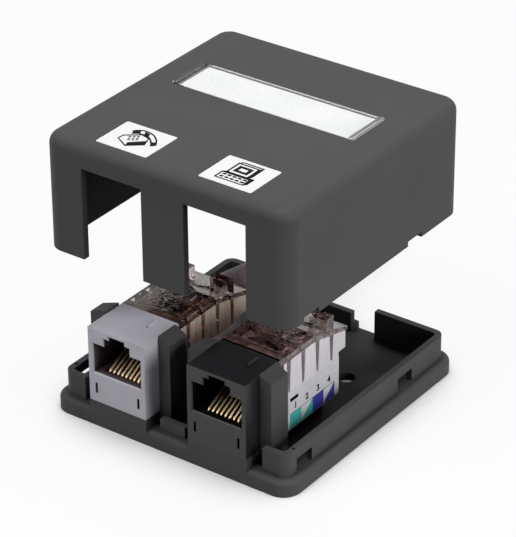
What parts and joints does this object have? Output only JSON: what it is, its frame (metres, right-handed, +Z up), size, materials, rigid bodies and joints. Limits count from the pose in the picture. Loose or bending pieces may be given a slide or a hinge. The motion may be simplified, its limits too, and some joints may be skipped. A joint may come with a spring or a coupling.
{
  "type": "surface mount jack box",
  "caption": "Surface mount box for modular network jacks: a fixed base tray, clear-capped punch-down jacks and a clip-fit cover shown lifted off, with label window and icon plates.",
  "frame": {"origin": "centre of the tray's underside, on the surface that it is fixed to", "axes": "+X to the right along the front with the ports, +Y to the back, +Z up"},
  "size_m": [0.0592, 0.1162, 0.0636],
  "materials": {
    "tray_plastic": "fine matt texture",
    "cover_plastic": "fine matt texture",
    "grey_jack_plastic": "smooth satin",
    "black_jack_plastic": "smooth satin",
    "comb_plastic": "smooth",
    "smoky_cap": "clear smoky, polished",
    "clear_window": "clear, polished",
    "label_paper": "paper",
    "icon_plastic": "white with black pictogram",
    "contact_gold": "gold plated",
    "terminal_tin": "tin plated",
    "board_laminate": "lacquered board",
    "wiring_film": "printed film",
    "screw_steel": "zinc plated",
    "cable_jacket": "soft matt jacket",
    "core_blue": "insulation",
    "core_orange": "insulation",
    "core_green": "insulation",
    "core_brown": "insulation"
  },
  "bodies": {
    "tray": {"base": "tray_plastic", "cable": "cable_jacket", "jack_housing_left": "grey_jack_plastic", "wire_comb_left": "comb_plastic", "wire_cap_left": "smoky_cap", "contact_board_left": "board_laminate", "terminals_left_left": "terminal_tin", "wiring_label_left_left": "wiring_film", "terminals_left_right": "terminal_tin", "wiring_label_left_right": "wiring_film", "contact_left_1": "contact_gold", "contact_left_2": "contact_gold", "contact_left_3": "contact_gold", "contact_left_4": "contact_gold", "contact_left_5": "contact_gold", "contact_left_6": "contact_gold", "contact_left_7": "contact_gold", "contact_left_8": "contact_gold", "jack_housing_right": "black_jack_plastic", "wire_comb_right": "comb_plastic", "wire_cap_right": "smoky_cap", "contact_board_right": "board_laminate", "terminals_right_left": "terminal_tin", "wiring_label_right_left": "wiring_film", "terminals_right_right": "terminal_tin", "wiring_label_right_right": "wiring_film", "contact_right_1": "contact_gold", "contact_right_2": "contact_gold", "contact_right_3": "contact_gold", "contact_right_4": "contact_gold", "contact_right_5": "contact_gold", "contact_right_6": "contact_gold", "contact_right_7": "contact_gold", "contact_right_8": "contact_gold", "conductor_1": "core_blue", "conductor_2": "core_orange", "conductor_3": "core_green", "conductor_4": "core_brown", "conductor_5": "core_blue", "conductor_6": "core_orange", "conductor_7": "core_green", "conductor_8": "core_brown"},
    "cover": {"cover": "cover_plastic", "cover_screw": "screw_steel", "paper_label": "label_paper", "icon_plate_left": "icon_plastic", "icon_plate_right": "icon_plastic"},
    "window": {"label_window": "clear_window"}
  },
  "joints": [
    {"name": "cover_lift", "type": "slide", "parent": "tray", "child": "cover", "axis": [0, 0, 1], "range_m": [-0.0345, 0]},
    {"name": "window_lift", "type": "slide", "parent": "cover", "child": "window", "axis": [0, 0, 1], "range_m": [0, 0.008]}
  ]
}
